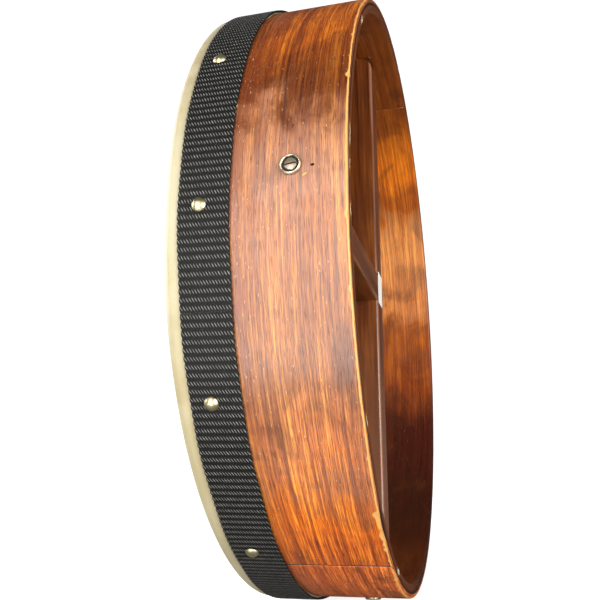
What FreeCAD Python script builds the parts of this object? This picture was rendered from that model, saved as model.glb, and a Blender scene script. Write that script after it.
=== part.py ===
"""Bodhran: a 380 mm goatskin frame drum with a tacked webbing band and a T-shaped crossbar.

Units are millimetres.  The drum stands on its edge as it is played: the skin faces -Y, the open
back faces +Y and +Z is up.  The origin is the middle of the hand grip: on the drum's axis, at
mid depth of the bars, where the bars overlap.
"""
import math
import os

import FreeCAD
import Part

# Shell: two bent plies, glued one inside the other.
SHELL_RADIUS = 190.0
WALL = 8.5
OUTER_PLY = 3.2
DEPTH = 89.1
RIM_ROUND = 1.2
SCARF_GAP = 0.25
SCARF_SLOPE = 6.0
OUTER_SCARF_ANGLE = -48.2
INNER_SCARF_ANGLE = 128.0

# Skin: stretched over the rounded front edge, its skirt running back under the webbing.
SKIN = 0.7
EDGE_ROUND = 4.6
SKIRT_REACH = 33.0

# Crossbar: a long bar right across the drum, a short one lapped into it.  Their centre lines cross
# a little way up the long bar from the drum's axis.
BAR_WIDTH = 19.0
BAR_DEPTH = 20.0
BAR_SETBACK = 16.2
BAR_EASE = 2.0
BAR_END_ROUND = 9.0
LONG_BAR_ANGLE = 105.5
SHORT_BAR_ANGLE = 17.7
CROSSING_RISE = 6.0
LABEL_SIZE = (14.0, 22.0, 0.2)

# Webbing: one strap round the skirt, its ends lapped on the far side under one tack.
WEBBING_WIDTH = 25.0
WEBBING = 1.4
WEBBING_SETBACK = 55.1
LAP_ARC = 9.0
LAP_RAMP = 2.5

# Tacks: domed heads on round pins, spaced by eye, closer together on the +X side.
TACK_ANGLES = (14.9, 42.5, 77.0, 106.0, 135.5, 165.0, 194.5, 224.0, 253.5, 283.5, 319.5, 347.2)
TACK_SETBACK = 69.7
TACK_HEAD_RADIUS = 3.6
TACK_HEAD_RISE = 2.1
TACK_PIN_RADIUS = 0.65
TACK_PIN_LENGTH = 9.5
LAP_TACK = 6

# Screws and cup washers: one at each end of the long bar, one at the end of the short bar.
SCREW_ANGLES = (19.6, 105.5, 285.5)
SCREW_RADIUS = 1.75
SCREW_LENGTH = 30.0
HEAD_RADIUS = 3.3
HEAD_EDGE = 0.25
HEAD_RISE = 0.7
SLOT_WIDTH = 0.8
SLOT_DEPTH = 0.8
SLOT_TURN = 8.0
SEAT_LOW = 0.3
SEAT_HIGH = 0.95
CUP_RADIUS = 3.9
WASHER_RADIUS = 5.0
WASHER_HEIGHT = 2.0
PIN_HOLE_ANGLE = 19.4
PIN_HOLE_SETBACK = 16.3
PIN_HOLE_RADIUS = 0.7
PIN_HOLE_DEPTH = 2.6

# Worked out from the sizes above.
BACK = BAR_SETBACK + BAR_DEPTH / 2.0
FRONT = BACK - DEPTH
SHELL_FRONT = FRONT + SKIN
INNER_RADIUS = SHELL_RADIUS - WALL
PLY_RADIUS = SHELL_RADIUS - OUTER_PLY
SKIRT_RADIUS = SHELL_RADIUS + SKIN
WEBBING_RADIUS = SKIRT_RADIUS + WEBBING

AXIS = FreeCAD.Vector(0.0, 1.0, 0.0)
CENTRE = FreeCAD.Vector(0.0, 0.0, 0.0)


def at(radius, along):
    """A point of a turned profile, drawn in the XY plane and turned about the Y axis."""
    return FreeCAD.Vector(radius, along, 0.0)


def turn(edges):
    """Turn a closed profile right round the drum's axis."""
    face = Part.Face(Part.Wire(edges))
    return face.revolve(CENTRE, AXIS, 360.0)


def polygon(points):
    """The edges of a closed outline through the points."""
    ends = points[1:] + points[:1]
    return [Part.makeLine(a, b) for a, b in zip(points, ends)]


def quarter(centre, radius, first, last):
    """An arc about centre, from angle first to angle last, in degrees in the XY plane."""
    middle = (first + last) / 2.0
    spots = []
    for angle in (first, middle, last):
        turned = math.radians(angle)
        spots.append(centre + FreeCAD.Vector(math.cos(turned), math.sin(turned), 0.0) * radius)
    return Part.Arc(spots[0], spots[1], spots[2]).toShape()


def eased(centre, radius, first, last):
    """A corner eased with three narrow flats in place of an arc."""
    corners = []
    for step in range(4):
        turned = math.radians(first + (last - first) * step / 3.0)
        corners.append(centre + FreeCAD.Vector(math.cos(turned), math.sin(turned), 0.0) * radius)
    return [Part.makeLine(a, b) for a, b in zip(corners, corners[1:])]


def tube(outer, inner, low, high):
    """A plain ring about the drum's axis, from along = low to along = high."""
    return turn(polygon([at(inner, low), at(outer, low), at(outer, high), at(inner, high)]))


def aim(shape, angle, along=0.0):
    """Carry a shape built on the +X axis round the drum to an angle, measured from +X to +Z."""
    placed = shape.copy()
    placed.translate(FreeCAD.Vector(0.0, along, 0.0))
    placed.rotate(CENTRE, AXIS, -angle)
    return placed


def at_crossing(shape):
    """Carry a shape built on the +X axis to lie along the short bar, from where the bars cross."""
    rise = math.radians(LONG_BAR_ANGLE)
    placed = aim(shape, SHORT_BAR_ANGLE)
    placed.translate(FreeCAD.Vector(math.cos(rise), 0.0, math.sin(rise)) * CROSSING_RISE)
    return placed


def rod(radius, inner_end, outer_end):
    """A round rod lying on the +X axis."""
    length = outer_end - inner_end
    return Part.makeCylinder(radius, length, at(inner_end, 0.0), FreeCAD.Vector(1.0, 0.0, 0.0))


def turned_on_x(points):
    """Turn an outline given as (along X, radius) about the X axis."""
    face = Part.Face(Part.Wire(polygon([FreeCAD.Vector(x, r, 0.0) for x, r in points])))
    return face.revolve(CENTRE, FreeCAD.Vector(1.0, 0.0, 0.0), 360.0)


def tack_seat(place):
    """The radius a tack's head rests at: one strap thickness further out on the lap."""
    return WEBBING_RADIUS + (WEBBING if place == LAP_TACK else 0.0)


def drill(shape, tool, angle, along=0.0):
    """Cut one tool out of a shape at an angle round the drum."""
    return shape.cut(aim(tool, angle, along))


def drill_for_tacks(shape):
    """Holes the size of the tack pins."""
    along = BACK - TACK_SETBACK
    for place, angle in enumerate(TACK_ANGLES):
        seat = tack_seat(place)
        shape = drill(shape, rod(TACK_PIN_RADIUS, seat - TACK_PIN_LENGTH, seat + 5.0), angle, along)
    return shape


def shell():
    """The whole wall: rounded over at the front for the skin, its back edges eased."""
    round_centre = at(SHELL_RADIUS - EDGE_ROUND, SHELL_FRONT + EDGE_ROUND)
    outer_centre = at(SHELL_RADIUS - RIM_ROUND, BACK - RIM_ROUND)
    inner_centre = at(INNER_RADIUS + RIM_ROUND, BACK - RIM_ROUND)
    return turn([
        Part.makeLine(at(INNER_RADIUS, SHELL_FRONT), at(SHELL_RADIUS - EDGE_ROUND, SHELL_FRONT)),
        quarter(round_centre, EDGE_ROUND, -90.0, 0.0),
        Part.makeLine(at(SHELL_RADIUS, SHELL_FRONT + EDGE_ROUND), at(SHELL_RADIUS, BACK - RIM_ROUND)),
        *eased(outer_centre, RIM_ROUND, 0.0, 90.0),
        Part.makeLine(at(SHELL_RADIUS - RIM_ROUND, BACK), at(INNER_RADIUS + RIM_ROUND, BACK)),
        *eased(inner_centre, RIM_ROUND, 90.0, 180.0),
        Part.makeLine(at(INNER_RADIUS, BACK - RIM_ROUND), at(INNER_RADIUS, SHELL_FRONT)),
    ])


def scarf(shape, radius, thickness, angle):
    """Part a ply along the slanted line where its two tapered ends meet."""
    length = 2.0 * thickness * SCARF_SLOPE
    cut = Part.makeBox(length, DEPTH * 2.0, SCARF_GAP)
    cut.translate(FreeCAD.Vector(-length / 2.0, -DEPTH, -SCARF_GAP / 2.0))
    cut.rotate(CENTRE, AXIS, 90.0 - math.degrees(math.atan(1.0 / SCARF_SLOPE)))
    cut.translate(at(radius + thickness / 2.0, 0.0))
    return shape.cut(aim(cut, angle))


def drill_for_screws(shape):
    """Clearance holes through the wall for the crossbar screws."""
    for angle in SCREW_ANGLES:
        shape = drill(shape, rod(SCREW_RADIUS, INNER_RADIUS - 2.0, SHELL_RADIUS + 2.0), angle)
    return shape


def outer_ply():
    """The outside ply, with the small pin hole beside the short bar's screw."""
    ply = shell().cut(tube(PLY_RADIUS, 1.0, FRONT - 1.0, BACK + 1.0))
    ply = scarf(ply, PLY_RADIUS, OUTER_PLY, OUTER_SCARF_ANGLE)
    pin_hole = rod(PIN_HOLE_RADIUS, SHELL_RADIUS - PIN_HOLE_DEPTH, SHELL_RADIUS + 2.0)
    ply = drill(ply, pin_hole, PIN_HOLE_ANGLE, BACK - PIN_HOLE_SETBACK)
    return drill_for_tacks(drill_for_screws(ply))


def inner_ply():
    """The inside ply."""
    ply = shell().common(tube(PLY_RADIUS, 1.0, FRONT - 1.0, BACK + 1.0))
    ply = scarf(ply, INNER_RADIUS, WALL - OUTER_PLY, INNER_SCARF_ANGLE)
    return drill_for_tacks(drill_for_screws(ply))


def goatskin_head():
    """The skin: a flat head, a rounded shoulder and a skirt under the webbing."""
    shoulder = at(SHELL_RADIUS - EDGE_ROUND, SHELL_FRONT + EDGE_ROUND)
    skirt_end = FRONT + SKIRT_REACH
    outside = EDGE_ROUND + SKIN
    skin = turn([
        Part.makeLine(at(0.0, FRONT), at(SHELL_RADIUS - EDGE_ROUND, FRONT)),
        quarter(shoulder, outside, -90.0, 0.0),
        Part.makeLine(at(SKIRT_RADIUS, SHELL_FRONT + EDGE_ROUND), at(SKIRT_RADIUS, skirt_end)),
        Part.makeLine(at(SKIRT_RADIUS, skirt_end), at(SHELL_RADIUS, skirt_end)),
        Part.makeLine(at(SHELL_RADIUS, skirt_end), at(SHELL_RADIUS, SHELL_FRONT + EDGE_ROUND)),
        quarter(shoulder, EDGE_ROUND, 0.0, -90.0),
        Part.makeLine(at(SHELL_RADIUS - EDGE_ROUND, SHELL_FRONT), at(0.0, SHELL_FRONT)),
        Part.makeLine(at(0.0, SHELL_FRONT), at(0.0, FRONT)),
    ])
    return drill_for_tacks(skin)


def lap_patch():
    """The second layer of strap where its ends lap, with the slope that lifts it there."""
    low = BACK - WEBBING_SETBACK - WEBBING_WIDTH
    high = BACK - WEBBING_SETBACK
    half = LAP_ARC / 2.0
    layer = tube(WEBBING_RADIUS + WEBBING, WEBBING_RADIUS - 0.1, low, high)
    reach = WEBBING_RADIUS * 1.2
    outline = [(half, reach), (-half, reach), (0.0, 0.0)]
    points = [(r * math.cos(math.radians(a)), r * math.sin(math.radians(a))) for a, r in outline]
    sector = prism(points, low, high)
    slope = [(-half - LAP_RAMP, WEBBING_RADIUS - 0.05), (-half, WEBBING_RADIUS + WEBBING),
             (-half, WEBBING_RADIUS - 0.1)]
    ramp = [(r * math.cos(math.radians(a)), r * math.sin(math.radians(a))) for a, r in slope]
    return layer.common(sector).fuse(prism(ramp, low, high))


def prism(points, low, high):
    """An outline in the XZ plane, drawn out along Y from low to high."""
    corners = [FreeCAD.Vector(x, low, z) for x, z in points]
    face = Part.Face(Part.Wire(polygon(corners)))
    return face.extrude(FreeCAD.Vector(0.0, high - low, 0.0))


def webbing_band():
    """The strap over the skirt, one closed turn with its lap under one tack."""
    low = BACK - WEBBING_SETBACK - WEBBING_WIDTH
    high = BACK - WEBBING_SETBACK
    band = tube(WEBBING_RADIUS, SKIRT_RADIUS, low, high)
    band = band.fuse(aim(lap_patch(), TACK_ANGLES[LAP_TACK])).removeSplitter()
    return drill_for_tacks(band)


def bar_blank(inner_end, outer_end):
    """A square bar on the +X axis with its long edges eased."""
    size = FreeCAD.Vector(inner_end, -BAR_DEPTH / 2.0, -BAR_WIDTH / 2.0)
    bar = Part.makeBox(outer_end - inner_end, BAR_DEPTH, BAR_WIDTH, size)
    long_edges = [edge for edge in bar.Edges if abs(edge.tangentAt(edge.FirstParameter).x) > 0.9]
    return bar.makeFillet(BAR_EASE, long_edges)


def bar_end(outer_end):
    """The waste taken off a bar's end: the back corner rounded, the tip fitted to the wall."""
    block = Part.makeBox(BAR_END_ROUND, BAR_END_ROUND, BAR_WIDTH + 2.0,
                         FreeCAD.Vector(outer_end - BAR_END_ROUND, BAR_DEPTH / 2.0 - BAR_END_ROUND,
                                        -BAR_WIDTH / 2.0 - 1.0))
    keep = Part.makeCylinder(BAR_END_ROUND, BAR_WIDTH + 2.0,
                             FreeCAD.Vector(outer_end - BAR_END_ROUND, BAR_DEPTH / 2.0 - BAR_END_ROUND,
                                            -BAR_WIDTH / 2.0 - 1.0))
    return block.cut(keep)


def fit_to_wall(bar):
    """Hollow the ends of a bar to sit against the inside of the shell."""
    inside = Part.makeCylinder(INNER_RADIUS, BAR_DEPTH * 2.0, FreeCAD.Vector(0.0, -BAR_DEPTH, 0.0), AXIS)
    return bar.common(inside)


def long_bar():
    """The bar right across the drum, notched near the middle to take the short bar's tongue."""
    reach = INNER_RADIUS + 1.0
    bar = bar_blank(-reach, reach)
    end_round = bar_end(INNER_RADIUS - 0.6)
    bar = bar.cut(end_round)
    flipped = end_round.copy()
    flipped.rotate(CENTRE, AXIS, 180.0)
    bar = fit_to_wall(aim(bar.cut(flipped), LONG_BAR_ANGLE))
    notch = Part.makeBox(BAR_WIDTH * 3.0, BAR_DEPTH, BAR_WIDTH,
                         FreeCAD.Vector(-BAR_WIDTH * 1.5, 0.0, -BAR_WIDTH / 2.0))
    bar = bar.cut(at_crossing(notch))
    for angle in SCREW_ANGLES[1:]:
        bar = bar.cut(aim(screw_shank(), angle))
    return bar


def short_bar():
    """The bar from the wall to the long bar, with a tongue lying in the long bar's notch."""
    far_side = BAR_WIDTH
    bar = bar_blank(-far_side, INNER_RADIUS + 1.5).cut(bar_end(INNER_RADIUS - 0.6))
    bar = fit_to_wall(at_crossing(bar))
    size = FreeCAD.Vector(-BAR_WIDTH * 2.0, -BAR_DEPTH, -BAR_WIDTH * 2.0)
    beyond = Part.makeBox(BAR_WIDTH * 4.0, BAR_DEPTH * 2.0, BAR_WIDTH * 1.5, size)
    beneath = Part.makeBox(BAR_WIDTH * 4.0, BAR_DEPTH, BAR_WIDTH * 4.0, size)
    middle = Part.makeBox(BAR_WIDTH * 4.0, BAR_DEPTH * 2.0, BAR_WIDTH * 2.5, size)
    lap = aim(beneath.common(middle), LONG_BAR_ANGLE - 180.0)
    bar = bar.cut(aim(beyond, LONG_BAR_ANGLE - 180.0)).cut(lap)
    return bar.cut(aim(screw_shank(), SCREW_ANGLES[0]))


def crossing_label():
    """A blank label stuck on the back of the crossing."""
    along, across, thick = LABEL_SIZE
    corner = FreeCAD.Vector(-along / 2.0, BAR_DEPTH / 2.0, -across / 2.0)
    return at_crossing(Part.makeBox(along, thick, across, corner))


def tack(place):
    """One tack: a shallow dome on a round pin with a pointed end."""
    seat = tack_seat(place)
    dome_radius = (TACK_HEAD_RADIUS ** 2 + TACK_HEAD_RISE ** 2) / (2.0 * TACK_HEAD_RISE)
    ball = Part.makeSphere(dome_radius, at(seat + TACK_HEAD_RISE - dome_radius, 0.0))
    dome = ball.common(rod(TACK_HEAD_RADIUS, seat, seat + TACK_HEAD_RISE))
    tip = seat - TACK_PIN_LENGTH
    pin = turned_on_x([(tip, 0.0), (tip + 2.0, TACK_PIN_RADIUS), (seat + 0.5, TACK_PIN_RADIUS),
                       (seat + 0.5, 0.0)])
    return aim(dome.fuse(pin).removeSplitter(), TACK_ANGLES[place], BACK - TACK_SETBACK)


def screw_shank():
    """The shank of a crossbar screw, on the +X axis."""
    root = SHELL_RADIUS + SEAT_LOW
    tip = root - SCREW_LENGTH
    return turned_on_x([(tip, 0.0), (tip + 3.5, SCREW_RADIUS), (root, SCREW_RADIUS), (root, 0.0)])


def bar_screw(angle):
    """A slotted wood screw, its countersunk head raised in the middle."""
    root = SHELL_RADIUS + SEAT_LOW
    rim = SHELL_RADIUS + SEAT_HIGH
    top = rim + HEAD_EDGE
    head = turned_on_x([(root - 0.2, 0.0), (root - 0.2, SCREW_RADIUS), (root, SCREW_RADIUS),
                        (rim, HEAD_RADIUS), (top, HEAD_RADIUS), (top, 0.0)])
    crown_radius = (HEAD_RADIUS ** 2 + HEAD_RISE ** 2) / (2.0 * HEAD_RISE)
    ball = Part.makeSphere(crown_radius, at(top + HEAD_RISE - crown_radius, 0.0))
    crown = ball.common(rod(HEAD_RADIUS, top, top + HEAD_RISE))
    screw = screw_shank().fuse(head).fuse(crown).removeSplitter()
    corner = FreeCAD.Vector(top + HEAD_RISE - SLOT_DEPTH, -HEAD_RADIUS * 1.5, -SLOT_WIDTH / 2.0)
    slot = Part.makeBox(SLOT_DEPTH + 1.0, HEAD_RADIUS * 3.0, SLOT_WIDTH, corner)
    slot.rotate(CENTRE, FreeCAD.Vector(1.0, 0.0, 0.0), SLOT_TURN)
    return aim(screw.cut(slot), angle)


def cup_washer(angle):
    """A turned cup washer: a rolled rim round a cup, with a seat in it for the screw's head."""
    base = SHELL_RADIUS
    top = base + WASHER_HEIGHT
    crest = (CUP_RADIUS + WASHER_RADIUS) / 2.0
    washer = turned_on_x([
        (base, SCREW_RADIUS), (base, WASHER_RADIUS), (top - 1.1, WASHER_RADIUS),
        (top - 0.25, WASHER_RADIUS - 0.2), (top, crest), (top - 0.25, CUP_RADIUS + 0.25),
        (base + SEAT_HIGH, CUP_RADIUS), (base + SEAT_HIGH, HEAD_RADIUS), (base + SEAT_LOW, SCREW_RADIUS),
    ])
    return aim(washer, angle)


def save(name, shape):
    """Write one piece, after making sure that it is a single closed solid."""
    solids = shape.Solids
    if len(solids) != 1 or not solids[0].isValid():
        raise ValueError(name + " is not one valid solid")
    solids[0].exportStep("parts/" + name + ".step")


def main():
    """Build every piece and write it under its own name."""
    os.makedirs("parts", exist_ok=True)
    save("outer_ply", outer_ply())
    save("inner_ply", inner_ply())
    save("goatskin_head", goatskin_head())
    save("webbing_band", webbing_band())
    save("long_bar", long_bar())
    save("short_bar", short_bar())
    save("crossing_label", crossing_label())
    for place in range(len(TACK_ANGLES)):
        save("tack_%02d" % (place + 1), tack(place))
    for number, angle in enumerate(SCREW_ANGLES, start=1):
        save("bar_screw_%d" % number, bar_screw(angle))
        save("cup_washer_%d" % number, cup_washer(angle))


main()
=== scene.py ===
import math

import bmesh
import bpy
import numpy as np
from mathutils import Matrix, Vector


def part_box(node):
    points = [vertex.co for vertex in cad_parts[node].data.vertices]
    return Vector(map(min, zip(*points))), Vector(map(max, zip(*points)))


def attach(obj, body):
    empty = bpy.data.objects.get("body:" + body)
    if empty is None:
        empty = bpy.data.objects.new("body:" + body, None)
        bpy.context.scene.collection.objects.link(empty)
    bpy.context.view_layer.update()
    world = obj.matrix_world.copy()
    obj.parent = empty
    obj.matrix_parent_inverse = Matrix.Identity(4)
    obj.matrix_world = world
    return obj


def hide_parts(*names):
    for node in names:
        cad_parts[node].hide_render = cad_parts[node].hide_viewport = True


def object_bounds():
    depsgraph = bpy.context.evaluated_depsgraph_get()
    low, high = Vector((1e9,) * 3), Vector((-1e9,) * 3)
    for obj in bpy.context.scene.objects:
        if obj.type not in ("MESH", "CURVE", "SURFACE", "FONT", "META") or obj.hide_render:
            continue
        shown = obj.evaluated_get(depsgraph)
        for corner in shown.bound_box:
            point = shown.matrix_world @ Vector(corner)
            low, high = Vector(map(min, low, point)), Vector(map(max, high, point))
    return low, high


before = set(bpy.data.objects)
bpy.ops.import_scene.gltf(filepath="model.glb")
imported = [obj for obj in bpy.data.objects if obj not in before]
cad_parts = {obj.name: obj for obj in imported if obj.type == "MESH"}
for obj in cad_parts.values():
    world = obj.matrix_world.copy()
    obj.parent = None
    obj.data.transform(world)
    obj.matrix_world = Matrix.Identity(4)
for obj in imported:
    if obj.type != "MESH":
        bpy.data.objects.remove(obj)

MM = 0.001
CAD_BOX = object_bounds()

# Sizes that the frame's boxes give.
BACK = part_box("outer_ply")[1].y
SHELL_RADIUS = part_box("outer_ply")[1].x
PLY_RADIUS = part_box("inner_ply")[1].x
SKIN_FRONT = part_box("goatskin_head")[0].y
SKIRT_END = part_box("goatskin_head")[1].y
SKIRT_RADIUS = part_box("goatskin_head")[1].x
BAND_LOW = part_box("webbing_band")[0].y
BAND_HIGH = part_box("webbing_band")[1].y

# Sizes that repeat the CAD's own.  Angles go round the drum from +X towards +Z, in degrees unless
# math.radians is written.
WALL = 8.5 * MM
EDGE_ROUND = 4.6 * MM
RIM_ROUND = 1.2 * MM
SKIN = 0.7 * MM
WEBBING = 1.4 * MM
SCARF_SLOPE = 6.0
OUTER_SCARF = math.radians(-48.2)
INNER_SCARF = math.radians(128.0)
SCARF_GAP = 0.25 * MM
TACK_ANGLES = (14.9, 42.5, 77.0, 106.0, 135.5, 165.0, 194.5, 224.0, 253.5, 283.5, 319.5, 347.2)
LAP_TACK = 6
TACK_HEAD_RADIUS = 3.6 * MM
TACK_HEAD_RISE = 2.1 * MM
TACK_PIN_RADIUS = 0.65 * MM
TACK_PIN_LENGTH = 9.5 * MM
PIN_ALONG = (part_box("tack_01")[0].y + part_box("tack_01")[1].y) / 2.0
LONG_BAR = math.radians(105.5)
SHORT_BAR = math.radians(17.7)
SHORT_BAR_OFFSET = 6.0 * MM
BAR_WIDTH = 19.0 * MM
BAR_DEPTH = 20.0 * MM
SCREW_ANGLES = (19.6, 105.5, 285.5)
HEAD_RADIUS = 3.3 * MM
CUP_RADIUS = 3.9 * MM
INNER_RADIUS = SHELL_RADIUS - WALL
SHELL_FRONT = SKIN_FRONT + SKIN
BAND_RADIUS = SKIRT_RADIUS + WEBBING

# The screw's crown: its top above the shell, and its fall over the square of the distance from its
# axis, both in millimetres.
SCREW_TOP = 1.9
CROWN_FALL = 0.064

# Damage: the chip on the outside's back edge with its half length in degrees, the knocks on the
# inside's back edge, and the pin's hole and the scratch beside the near screw.
CHIP_ANGLE = -35.5
CHIP_HALF = 4.2
CHIP_REACH = 3.6 * MM
CHIP_DEPTH = 0.8 * MM
CHIP_HOLLOW = 0.7 * MM
NICK_DEPTH = 0.45 * MM
NICK_ANGLES = (55.8, 25.8, 23.5, 19.6, 12.8, -17.2, -52.0)
HOLE_TURN = math.radians(19.4)
HOLE_ALONG = BACK - 16.3 * MM
HOLE_RADIUS = 0.75 * MM
HOLE_DEPTH = 2.4 * MM
SCRATCH_TURN = math.radians(18.0)
SCRATCH_ALONG = BACK - 19.8 * MM
SCRATCH_LENGTH = 1.5 * MM
SCRATCH_WIDTH = 0.55 * MM
SCRATCH_LEAN = (0.88, 0.47)
PATCH_REACH = 3.2 * MM

# The strap's weave: rows along it and columns across it, each crossing a slanted tick.  The tick's
# direction is a pair of shares, its half length and half width are in millimetres, and the relief
# is how deep the weave lies below the strap's outside.
WEAVE_ROWS = 311
WEAVE_COLUMNS = 17
WEAVE_LEAN = 0.2
ROW_PITCH = 2.0 * math.pi * BAND_RADIUS / WEAVE_ROWS
COLUMN_PITCH = (BAND_HIGH - BAND_LOW) / WEAVE_COLUMNS
TICK_ACROSS = 0.50
TICK_ALONG = 0.87
TICK_LENGTH = 1.5
TICK_WIDTH = 0.27
RELIEF = 0.4 * MM

# How finely each piece is drawn.
PLY_STEPS = 900
SKIN_STEPS = 720
ROW_STEPS = 4
COLUMN_STEPS = 4
TACK_STEPS = 40
BACKDROP_STEPS = 96

# Colours, as linear red, green and blue.
STAIN_CLOUD = (0.12, 0.028, 0.004)
STAIN_STRAP_SIDE = (0.20, 0.042, 0.010)
# Painted sheen: a pale pink tint mixed into the wood where the lamps' sheen is painted on.
PAINTED_SHEEN_TINT = (0.80, 0.62, 0.52)
OPEN_PORE = (0.030, 0.006, 0.002)
PALE_FLECK = (0.88, 0.56, 0.30)
# Dark of real glue, also used as painted shade on the inner ply's end face and inner corner.
GLUE_AND_PAINTED_SHADE = (0.022, 0.006, 0.002)
OUTER_BARE = (0.92, 0.45, 0.11)
INNER_BARE = (0.90, 0.78, 0.52)
SKIN_PALE = (0.62, 0.56, 0.39)
SKIN_SPINE = (0.38, 0.27, 0.14)
SKIN_GRAIN = (0.42, 0.32, 0.18)
THREAD_DARK = (0.004, 0.004, 0.004)
THREAD_LIGHT = (0.017, 0.0165, 0.015)
# Painted shade in the pits of the weave.
WEAVE_PIT_SHADE = (0.0015, 0.0015, 0.0015)
# Painted highlight: the grey of the floats' ticks.
TICK_SHEEN = (0.32, 0.31, 0.28)
LINT = (0.16, 0.155, 0.145)
BAR_CLOUD = (0.06, 0.018, 0.01)
# Painted light: the paler, pinker tone of the bar's lower end.
BAR_LOWER_PAINTED_LIGHT = (0.33, 0.15, 0.085)
# Rubbed edges together with a painted edge highlight.
BAR_EDGE_WEAR_AND_HIGHLIGHT = (0.36, 0.15, 0.07)
PAPER = (0.93, 0.92, 0.88)
PAPER_STAIN = (0.82, 0.76, 0.62)
PAPER_FIBRE = (0.70, 0.66, 0.58)
BRASS_BRIGHT = (0.84, 0.74, 0.44)
BRASS_DULL = (0.46, 0.36, 0.17)
WASHER_BRIGHT = (0.86, 0.78, 0.56)
WASHER_DULL = (0.50, 0.40, 0.24)
SCREW_BRIGHT = (0.60, 0.50, 0.38)
SCREW_DULL = (0.26, 0.18, 0.11)
# Painted shade in the washers' grooves, at their foot on the wood, and round and in the screws' slots.
PAINTED_SHADE_COLOUR = (0.018, 0.011, 0.006)


# ---------------------------------------------------------------- meshes

def waves(turn, seed, lowest, highest, count=9):
    """A smooth uneven line round the drum, about -1 to 1, the same on each run."""
    draw = np.random.RandomState(seed)
    total = np.zeros_like(turn)
    for _ in range(count):
        total = total + np.sin(turn * draw.randint(lowest, highest) + draw.uniform(0.0, 2.0 * math.pi))
    return total / math.sqrt(count)


def away_from(turn, angle):
    """How far each turn is from an angle, the short way round, in degrees."""
    return (np.degrees(turn) - angle + 180.0) % 360.0 - 180.0


def make_mesh(name, points, faces, smooth=True):
    """A mesh object of the points and faces, riding on the drum."""
    mesh = bpy.data.meshes.new(name)
    mesh.from_pydata([tuple(p) for p in points], [], faces)
    mesh.validate()
    mesh.polygons.foreach_set("use_smooth", [smooth] * len(mesh.polygons))
    piece = bpy.data.objects.new(name, mesh)
    bpy.context.scene.collection.objects.link(piece)
    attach(piece, "root")
    return piece


def join_points(piece):
    """Make one point of the points that lie together, as in the middle of a disc."""
    work = bmesh.new()
    work.from_mesh(piece.data)
    bmesh.ops.remove_doubles(work, verts=work.verts, dist=0.001 * MM)
    work.to_mesh(piece.data)
    work.free()


def ring_points(radius, along, turn):
    """Points from arrays of radius, place along the axis and turn about it."""
    grid = np.stack([radius * np.cos(turn), along + 0.0 * turn, radius * np.sin(turn)], axis=-1)
    return grid.reshape(-1, 3)


def ring_faces(steps, sides, closed):
    """Quads over a grid of steps round the drum by sides round the profile."""
    faces = []
    for i in range(steps if closed else steps - 1):
        a, b = i * sides, ((i + 1) % steps) * sides
        for j in range(sides):
            k = (j + 1) % sides
            faces.append((a + j, a + k, b + k, b + j))
    if not closed:
        faces.append(tuple(range(sides - 1, -1, -1)))
        faces.append(tuple((steps - 1) * sides + j for j in range(sides)))
    return faces


def store(piece, name, values):
    """Keep a number or a vector on each point of a piece, for its material."""
    values = np.asarray(values, dtype=np.float32)
    kind, key = ("FLOAT_VECTOR", "vector") if values.ndim == 2 else ("FLOAT", "value")
    layer = piece.data.attributes.new(name, kind, "POINT")
    layer.data.foreach_set(key, values.ravel())


def arc(centre, radius, first, last, count):
    """Points of a corner's arc, in degrees, as (radius, along) pairs."""
    turns = np.radians(np.linspace(first, last, count))
    return [(centre[0] + radius * math.cos(t), centre[1] + radius * math.sin(t)) for t in turns]


def run(start, end, count):
    """Evenly spaced points of a straight stretch, without its two ends."""
    shares = np.linspace(0.0, 1.0, count + 2)[1:-1]
    return [(start[0] + (end[0] - start[0]) * s, start[1] + (end[1] - start[1]) * s) for s in shares]


# ---------------------------------------------------------------- shader helpers

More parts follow.
